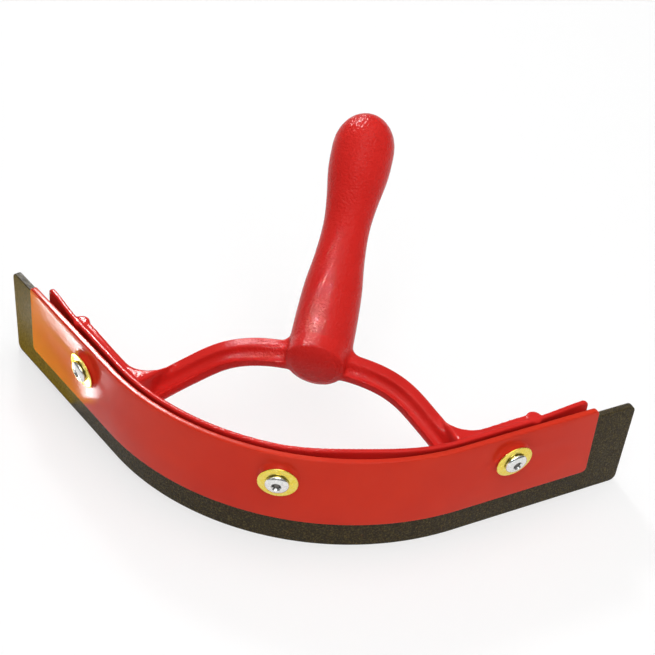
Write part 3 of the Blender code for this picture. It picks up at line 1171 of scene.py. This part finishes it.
    def dress(self, brass: Finish, zinc: Finish, aluminium: Finish, steel: Finish) -> None:
        """Builds the pieces and shows each in its finish.

        Args:
            brass: Finish of the front washer.
            zinc: Finish of the rear washer.
            aluminium: Finish of the rivet.
            steel: Finish of the broken stem.
        """
        side = self.spot.value
        front = self.washer("front_washer_ring_" + side, self.washer_radius, self.front_seat, self.washer_sag)
        rear = self.washer("rear_washer_ring_" + side, self.rear_washer_radius, self.rear_seat)
        rivet = self.rivet("rivet_body_" + side)
        stem = self.stem("stem_" + side)
        show(front.name, front, brass, ["front_washer_" + side])
        show(rear.name, rear, zinc, ["rear_washer_" + side])
        show(rivet.name, rivet, aluminium, ["rivet_" + side])
        show(stem.name, stem, steel, ["mandrel_" + side])


@dataclass(frozen=True)
class Lamp:
    """Square lamp, or a lit card that only reflections show."""

    name: str
    place: Place
    aim: Place
    size: float
    power: float
    beam: float = math.pi
    card: bool = False

    def hang(self) -> None:
        """Adds the lamp, aimed at its point."""
        light = bpy.data.lights.new(self.name, "AREA")
        light.size = self.size
        light.energy = self.power
        light.spread = self.beam
        lamp = bpy.data.objects.new(self.name, light)
        lamp.location = self.place
        lamp.rotation_euler = (Vector(self.aim) - Vector(self.place)).to_track_quat("-Z", "Y").to_euler()
        lamp.visible_camera = False
        lamp.visible_diffuse = not self.card
        bpy.context.scene.collection.objects.link(lamp)


@dataclass(frozen=True)
class Card:
    """Glowing card on the floor that only reflections show."""

    name: str
    place: Place
    length: float
    width: float
    colour: str
    strength: float
    turn: float = math.radians(-11.5)

    def lay(self) -> None:
        """Lays the card on the floor."""
        build = bmesh.new()
        bmesh.ops.create_grid(build, x_segments=1, y_segments=1, size=0.5)
        bmesh.ops.scale(build, vec=(self.length, self.width, 1.0), verts=build.verts[:])
        mesh = to_mesh(self.name, build)
        values = {
            "Base Color": linear(BLACK),
            "Specular IOR Level": 0.0,
            "Emission Color": linear(self.colour),
            "Emission Strength": self.strength,
        }
        mesh.materials.append(start_material(self.name + "_paper", values))
        card = bpy.data.objects.new(self.name, mesh)
        card.location = self.place
        card.rotation_euler.z = self.turn
        card.visible_camera = False
        card.visible_diffuse = False
        card.visible_shadow = False
        bpy.context.scene.collection.objects.link(card)


@dataclass
class Studio:
    """Pale floor, soft lamps and the camera of the photograph."""

    bow: Bow

    # The camera's place is measured from the bow's zero. It is turned to the
    # right of the front, raised above the floor and rolled about its view.
    lens_mm: float = 86.05
    sensor_mm: float = 36.0
    near_clip: float = 0.01
    camera_place: Place = (0.093083, -0.426374, 0.445383)
    camera_turn: float = math.radians(9.9937)
    camera_rise: float = math.radians(38.5564)
    camera_roll: float = math.radians(5.4995)

    # Share of plain white in the floor, and the sky's strength at its rim and top.
    floor_size: float = 12.0
    floor_colour: str = "#FCFCFC"
    floor_glow: float = 0.6
    horizon: float = 0.05
    zenith: float = 0.50

    # The last three only add highlights: from behind, on the hub and on the right arm.
    lamps: tuple[Lamp, ...] = (
        Lamp("key", (0.25, -0.75, 1.15), MIDDLE, 0.9, 8.0),
        Lamp("back", (-0.50, 0.95, 0.95), MIDDLE, 0.18, 5.0),
        Lamp("top", (0.2, 0.1, 1.6), MIDDLE, 1.2, 7.5),
        Lamp("sky_card", (-0.50, 0.95, 0.88), MIDDLE, 0.3, 28.0, card=True),
        Lamp("snoot", (-0.41, -0.52, 0.50), (0.001, -0.013, 0.057), 0.03, 0.18, beam=0.036, card=True),
        Lamp("ridge", (-0.35, -0.46, 0.75), (0.055, -0.010, 0.052), 0.06, 0.17, beam=0.10, card=True),
    )

    # Warm ground and white streaks that the left end of the strip mirrors.
    cards: tuple[Card, ...] = (
        Card("warm_card", (-0.178, 0.0250, 0.0008), 0.166, 0.060, "#FFD848", 2.0),
        Card("white_card", (-0.128, -0.0140, 0.0010), 0.044, 0.006, WHITE, 20.0),
        Card("edge_card", (-0.160, 0.0050, 0.0010), 0.048, 0.007, WHITE, 24.0, math.radians(-40.0)),
    )

    def camera(self) -> None:
        """Adds the camera at the photograph's viewing angle."""
        turn = Matrix.Rotation(self.camera_turn, 4, "Z")
        tilt = Matrix.Rotation(math.pi / 2 - self.camera_rise, 4, "X")
        roll = Matrix.Rotation(self.camera_roll, 4, "Z")
        data = bpy.data.cameras.new("photo_camera")
        data.lens = self.lens_mm
        data.sensor_width = self.sensor_mm
        data.clip_start = self.near_clip
        camera = bpy.data.objects.new("photo_camera", data)
        place = Matrix.Translation(self.bow.zero + Vector(self.camera_place))
        camera.matrix_world = place @ turn @ tilt @ roll
        bpy.context.scene.collection.objects.link(camera)
        bpy.context.scene.camera = camera

    def floor(self) -> None:
        """Adds the pale floor that takes the part's shadow."""
        build = bmesh.new()
        bmesh.ops.create_grid(build, x_segments=1, y_segments=1, size=self.floor_size / 2)
        mesh = to_mesh("floor", build)
        values = {"Base Color": linear(self.floor_colour), "Specular IOR Level": 0.0}
        paper = start_material("pale_paper_matte", values)
        self.whiten(paper.node_tree)
        mesh.materials.append(paper)
        floor = bpy.data.objects.new("floor", mesh)
        bpy.context.scene.collection.objects.link(floor)

    def whiten(self, tree: bpy.types.NodeTree) -> None:
        """Mixes plain white into the floor, as the camera and reflections see it.

        Args:
            tree: Node tree of the floor's material.
        """
        rays = add_node(tree, "ShaderNodeLightPath").outputs
        seen = rays["Is Camera Ray"]
        for name in ("Is Glossy Ray", "Is Transmission Ray"):
            links = {0: seen, 1: rays[name]}
            seen = add_node(tree, "ShaderNodeMath", {"operation": "MAXIMUM"}, links).outputs[0]
        share = add_node(tree, "ShaderNodeMath", {"operation": "MULTIPLY", 1: self.floor_glow}, {0: seen})
        white = add_node(tree, "ShaderNodeEmission", {"Color": linear(WHITE)})
        links = {0: share.outputs[0], 1: tree.nodes[SHADER].outputs[0], 2: white.outputs[0]}
        mixed = add_node(tree, "ShaderNodeMixShader", None, links)
        tree.links.new(mixed.outputs[0], tree.nodes["Material Output"].inputs["Surface"])

    def sky(self) -> None:
        """Sets a sky that darkens to the horizon, since the floor fills the picture."""
        world = bpy.data.worlds.new("studio_sky")
        bpy.context.scene.world = world
        world.use_nodes = True
        tree = world.node_tree
        way = add_node(tree, "ShaderNodeTexCoord").outputs["Generated"]
        height = add_node(tree, "ShaderNodeSeparateXYZ", None, {0: way}).outputs["Z"]
        shades = stretch((0.0, 1.0), (self.horizon, self.zenith))
        shade = add_node(tree, "ShaderNodeMapRange", shades, {"Value": height})
        backdrop = tree.nodes["Background"].inputs
        backdrop["Color"].default_value = linear(WHITE)
        tree.links.new(shade.outputs[0], backdrop["Strength"])

    def set_up(self) -> None:
        """Builds the studio."""
        for lamp in self.lamps:
            lamp.hang()
        for card in self.cards:
            card.lay()
        self.floor()
        self.sky()
        self.camera()
        bpy.context.scene.view_settings.view_transform = "Standard"


def main() -> None:
    """Builds the pieces, their finishes and the studio."""
    logging.basicConfig(level=logging.INFO, format="%(message)s")
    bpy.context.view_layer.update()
    bow = Bow.from_boxes()
    row = RivetRow()
    MouldedFrame(bow).dress(MouldedRed())
    ClampStrip(bow, row=row).dress(StripRed())
    RubberBlade(bow).dress(SheetRubber())
    metals = (StampedBrass(), ZincSteel(), SetAluminium(), BrokenSteel())
    for spot in Spot:
        Fastening(bow, row, spot).dress(*metals)
    Studio(bow).set_up()


if __name__ == "__main__":
    main()
